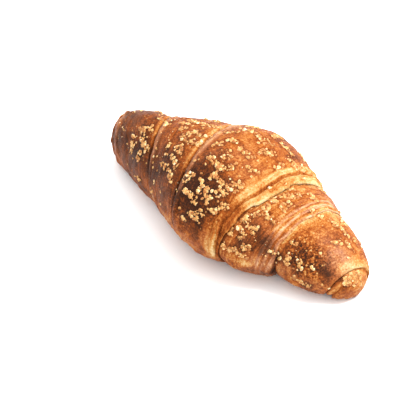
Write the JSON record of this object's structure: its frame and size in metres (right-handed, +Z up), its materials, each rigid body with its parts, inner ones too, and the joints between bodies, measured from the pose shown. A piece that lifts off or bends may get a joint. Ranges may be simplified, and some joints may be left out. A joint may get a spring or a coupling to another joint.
{
  "type": "croissant",
  "caption": "Straight, fat croissant baked whole, rolled up in layered turns with raised edges and sprinkled with small baked crumbs; a piece of bakery food",
  "frame": {"origin": "On the surface it rests on, under the middle of the croissant's box", "axes": "+X runs along the croissant to the more pointed end, +Y to the side away from the picture's camera, +Z up"},
  "size_m": [0.156, 0.0742, 0.0511],
  "materials": {
    "baked_dough": "satin egg-washed crust, golden brown"
  },
  "bodies": {
    "root": {"croissant": "baked_dough"}
  },
  "joints": []
}
